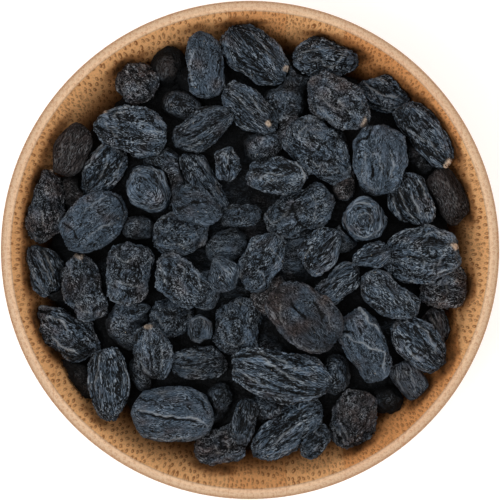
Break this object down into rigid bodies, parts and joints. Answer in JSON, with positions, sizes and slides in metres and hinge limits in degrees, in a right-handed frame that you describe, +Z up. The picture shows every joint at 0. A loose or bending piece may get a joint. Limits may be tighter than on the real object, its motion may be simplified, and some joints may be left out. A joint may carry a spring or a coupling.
{
  "type": "bowl of seedless black raisins",
  "caption": "Round turned bamboo bowl, heaped to its rim with wrinkled seedless black raisins; stands on a flat foot as table food or a prop.",
  "frame": {"origin": "centre of the bowl's foot, on the surface that it stands on", "axes": "+Z up along the bowl's axis, +Y towards the top of the picture, +X towards its right"},
  "size_m": [0.12, 0.12, 0.0552],
  "materials": {
    "bamboo": "fine-sanded and oiled bamboo, end grain showing as short brown dots and crescents",
    "raisin_skin": "wrinkled dried grape skin, satin, with a dusty blue-grey bloom on the ridges"
  },
  "bodies": {
    "root": {"bowl": "bamboo", "lower_raisins": "raisin_skin", "raisin_lumpy_01": "raisin_skin", "raisin_folded_02": "raisin_skin", "raisin_smooth_03": "raisin_skin", "raisin_creased_04": "raisin_skin", "raisin_grainy_05": "raisin_skin", "raisin_flat_06": "raisin_skin", "raisin_round_07": "raisin_skin", "raisin_flat_08": "raisin_skin", "raisin_long_09": "raisin_skin", "raisin_folded_10": "raisin_skin", "raisin_grainy_11": "raisin_skin", "raisin_folded_12": "raisin_skin", "raisin_long_13": "raisin_skin", "raisin_flat_14": "raisin_skin", "raisin_lumpy_15": "raisin_skin", "raisin_streaky_16": "raisin_skin", "raisin_streaky_17": "raisin_skin", "raisin_lumpy_18": "raisin_skin", "raisin_lumpy_19": "raisin_skin", "raisin_streaky_20": "raisin_skin", "raisin_flat_21": "raisin_skin", "raisin_lumpy_22": "raisin_skin", "raisin_grainy_23": "raisin_skin", "raisin_grainy_24": "raisin_skin", "raisin_creased_25": "raisin_skin", "raisin_folded_26": "raisin_skin", "raisin_grainy_27": "raisin_skin", "raisin_lumpy_28": "raisin_skin", "raisin_lumpy_29": "raisin_skin", "raisin_lumpy_30": "raisin_skin", "raisin_lumpy_31": "raisin_skin", "raisin_lumpy_32": "raisin_skin", "raisin_smooth_33": "raisin_skin", "raisin_streaky_34": "raisin_skin", "raisin_streaky_35": "raisin_skin", "raisin_flat_36": "raisin_skin", "raisin_grainy_37": "raisin_skin", "raisin_round_38": "raisin_skin", "raisin_round_39": "raisin_skin", "raisin_creased_40": "raisin_skin", "raisin_smooth_41": "raisin_skin", "raisin_folded_42": "raisin_skin", "raisin_streaky_43": "raisin_skin", "raisin_peanut_44": "raisin_skin", "raisin_lumpy_45": "raisin_skin", "raisin_creased_46": "raisin_skin", "raisin_long_47": "raisin_skin", "raisin_bean_48": "raisin_skin", "raisin_streaky_49": "raisin_skin", "raisin_long_50": "raisin_skin", "raisin_lumpy_51": "raisin_skin", "raisin_streaky_52": "raisin_skin", "raisin_streaky_53": "raisin_skin", "raisin_grainy_54": "raisin_skin", "raisin_flat_55": "raisin_skin", "raisin_long_56": "raisin_skin", "raisin_smooth_57": "raisin_skin", "raisin_lumpy_58": "raisin_skin"}
  },
  "joints": []
}
